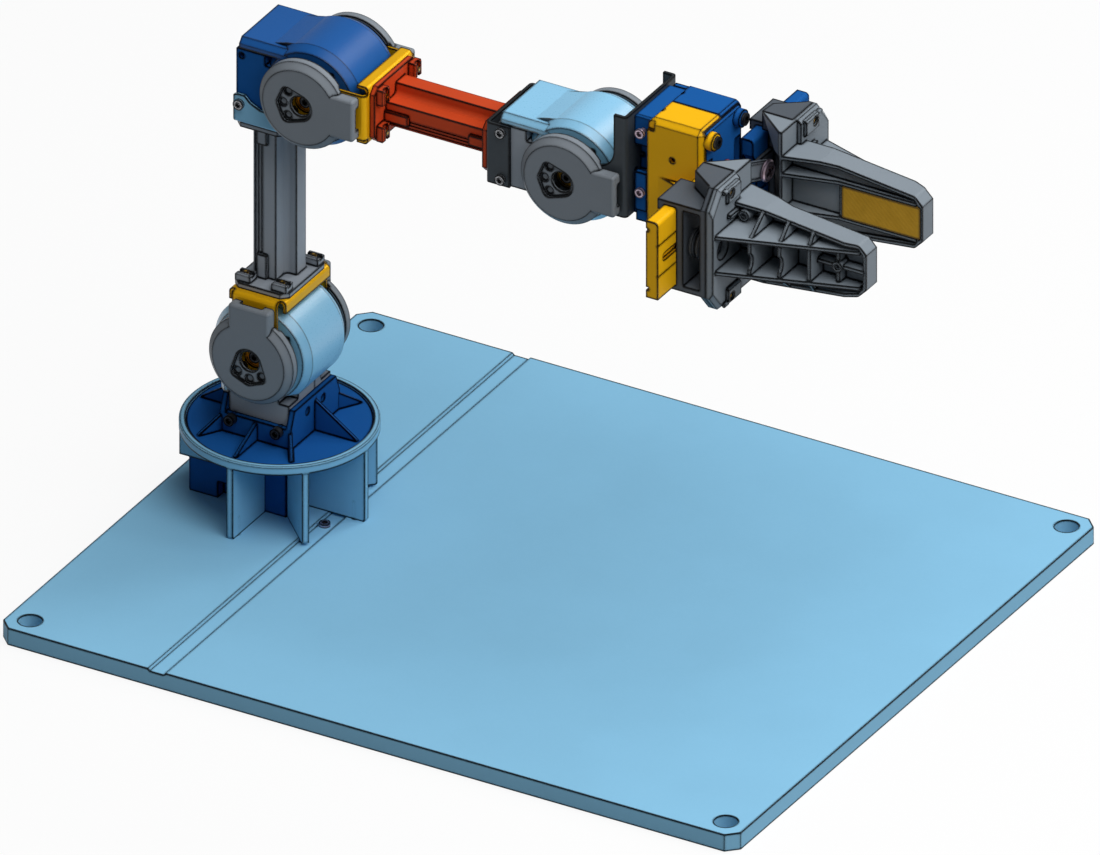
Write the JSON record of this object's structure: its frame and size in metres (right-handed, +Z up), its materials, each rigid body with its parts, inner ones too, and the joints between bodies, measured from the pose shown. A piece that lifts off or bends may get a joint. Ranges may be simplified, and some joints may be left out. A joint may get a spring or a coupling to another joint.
{
  "type": "desktop robot arm with parallel gripper",
  "caption": "Servo-driven desktop robot arm on a flat base plate, with yaw, shoulder, elbow and wrist joints and a two-finger parallel gripper on linear rails.",
  "frame": {"origin": "on the yaw axis, at the underside of the base plate", "axes": "+X from the yaw axis toward the gripper at rest, +Y to the arm's left, +Z up"},
  "size_m": [0.35, 0.3, 0.249],
  "materials": {
    "base_plate": "satin light blue coating",
    "pedestal": "satin moulded",
    "base_screws": "zinc",
    "yaw_servo_case": "fine textured",
    "yaw_servo_core": "plain",
    "yaw_horn": "machined",
    "turntable": "satin moulded",
    "turntable_screws": "blackened",
    "shoulder_servo_case": "fine textured",
    "shoulder_servo_core": "plain",
    "shoulder_drum_cover": "satin moulded",
    "shoulder_horns": "machined",
    "shoulder_horn_screws": "zinc",
    "shoulder_right_cover": "satin moulded",
    "shoulder_left_cover": "satin moulded",
    "elbow_servo_case": "fine textured",
    "elbow_servo_core": "plain",
    "elbow_drum_cover": "satin moulded",
    "elbow_horns": "machined",
    "elbow_horn_screws": "zinc",
    "elbow_right_cover": "satin moulded",
    "elbow_left_cover": "satin moulded",
    "wrist_servo_case": "fine textured",
    "wrist_servo_core": "plain",
    "wrist_drum_cover": "satin moulded",
    "wrist_horns": "machined",
    "wrist_horn_screws": "zinc",
    "wrist_right_cover": "satin moulded",
    "wrist_left_cover": "satin moulded",
    "shoulder_hinge_frame": "yellow anodised",
    "elbow_hinge_frame": "yellow anodised",
    "upper_arm_beam": "satin moulded",
    "upper_arm_screws": "blackened",
    "elbow_mount_frame": "satin moulded",
    "elbow_mount_screws": "blackened",
    "forearm_beam": "satin moulded",
    "forearm_screws": "blackened",
    "wrist_mount_frame": "charcoal anodised",
    "wrist_mount_screws": "zinc",
    "hand_frame": "charcoal anodised",
    "hand_screws": "zinc",
    "gripper_servo_case": "fine textured",
    "gripper_servo_core": "plain",
    "gripper_shell_right": "satin moulded",
    "gripper_shell_left": "satin moulded",
    "gripper_shell_screws": "blackened",
    "gripper_crank": "satin moulded",
    "right_rod": "satin moulded",
    "right_carriage": "satin moulded",
    "right_roller": "turned",
    "right_finger": "satin moulded",
    "right_pad": "fine textured",
    "right_finger_screws": "zinc",
    "left_rod": "satin moulded",
    "left_carriage": "satin moulded",
    "left_roller": "turned",
    "left_finger": "satin moulded",
    "left_pad": "fine textured",
    "left_finger_screws": "zinc"
  },
  "bodies": {
    "base": {"base_plate": "base_plate", "pedestal": "pedestal", "base_screws": "base_screws", "yaw_servo_case": "yaw_servo_case", "yaw_servo_core": "yaw_servo_core"},
    "turntable": {"yaw_horn": "yaw_horn", "turntable": "turntable", "turntable_screws": "turntable_screws", "shoulder_servo_case": "shoulder_servo_case", "shoulder_servo_core": "shoulder_servo_core", "shoulder_drum_cover": "shoulder_drum_cover"},
    "upper_arm": {"shoulder_horns": "shoulder_horns", "shoulder_horn_screws": "shoulder_horn_screws", "shoulder_right_cover": "shoulder_right_cover", "shoulder_left_cover": "shoulder_left_cover", "shoulder_hinge_frame": "shoulder_hinge_frame", "upper_arm_beam": "upper_arm_beam", "upper_arm_screws": "upper_arm_screws", "elbow_mount_frame": "elbow_mount_frame", "elbow_mount_screws": "elbow_mount_screws", "elbow_servo_case": "elbow_servo_case", "elbow_servo_core": "elbow_servo_core", "elbow_drum_cover": "elbow_drum_cover"},
    "forearm": {"elbow_horns": "elbow_horns", "elbow_horn_screws": "elbow_horn_screws", "elbow_right_cover": "elbow_right_cover", "elbow_left_cover": "elbow_left_cover", "elbow_hinge_frame": "elbow_hinge_frame", "forearm_beam": "forearm_beam", "forearm_screws": "forearm_screws", "wrist_mount_frame": "wrist_mount_frame", "wrist_mount_screws": "wrist_mount_screws", "wrist_servo_case": "wrist_servo_case", "wrist_servo_core": "wrist_servo_core", "wrist_drum_cover": "wrist_drum_cover"},
    "hand": {"wrist_horns": "wrist_horns", "wrist_horn_screws": "wrist_horn_screws", "wrist_right_cover": "wrist_right_cover", "wrist_left_cover": "wrist_left_cover", "hand_frame": "hand_frame", "hand_screws": "hand_screws", "gripper_servo_case": "gripper_servo_case", "gripper_servo_core": "gripper_servo_core", "gripper_shell_right": "gripper_shell_right", "gripper_shell_left": "gripper_shell_left", "gripper_shell_screws": "gripper_shell_screws"},
    "crank": {"gripper_crank": "gripper_crank"},
    "right_slider": {"right_carriage": "right_carriage", "right_roller": "right_roller", "right_finger": "right_finger", "right_pad": "right_pad", "right_finger_screws": "right_finger_screws"},
    "right_link": {"right_rod": "right_rod"},
    "left_slider": {"left_carriage": "left_carriage", "left_roller": "left_roller", "left_finger": "left_finger", "left_pad": "left_pad", "left_finger_screws": "left_finger_screws"},
    "left_link": {"left_rod": "left_rod"}
  },
  "joints": [
    {"name": "base_yaw", "type": "hinge", "parent": "base", "child": "turntable", "pos_m": [0, 0, 0.0445], "axis": [0, 0, 1], "range_deg": [-162, 162]},
    {"name": "shoulder_pitch", "type": "hinge", "parent": "turntable", "child": "upper_arm", "pos_m": [0, 0, 0.084], "axis": [0, 1, 0], "range_deg": [-102, 30]},
    {"name": "elbow_pitch", "type": "hinge", "parent": "upper_arm", "child": "forearm", "pos_m": [0.024, 0, 0.212], "axis": [0, -1, 0], "range_deg": [-44, 54]},
    {"name": "wrist_pitch", "type": "hinge", "parent": "forearm", "child": "hand", "pos_m": [0.148, 0, 0.212], "axis": [0, 1, 0], "range_deg": [-102.6, 117]},
    {"name": "gripper_crank_turn", "type": "hinge", "parent": "hand", "child": "crank", "pos_m": [0.2145, 0, 0.212], "axis": [1, 0, 0], "range_deg": [-98.4, 45.6]},
    {"name": "right_finger_slide", "type": "slide", "parent": "hand", "child": "right_slider", "axis": [0, -1, 0], "range_m": [-0.0087, 0.0188]},
    {"name": "left_finger_slide", "type": "slide", "parent": "hand", "child": "left_slider", "axis": [0, 1, 0], "range_m": [-0.0087, 0.0188]},
    {"name": "right_rod_swing", "type": "hinge", "parent": "right_slider", "child": "right_link", "pos_m": [0.219, -0.0186, 0.2074], "axis": [1, 0, 0], "range_deg": [-8.2, 17.8]},
    {"name": "left_rod_swing", "type": "hinge", "parent": "left_slider", "child": "left_link", "pos_m": [0.219, 0.0186, 0.2166], "axis": [1, 0, 0], "range_deg": [-8.2, 17.8]}
  ],
  "couplings": [
    {"joint": "left_finger_slide", "follows": "right_finger_slide", "ratio": 1},
    {"joint": "gripper_crank_turn", "follows": "right_finger_slide", "rad_per_m": -91.351},
    {"joint": "right_rod_swing", "follows": "right_finger_slide", "rad_per_m": 16.443},
    {"joint": "left_rod_swing", "follows": "right_finger_slide", "rad_per_m": 16.443}
  ]
}
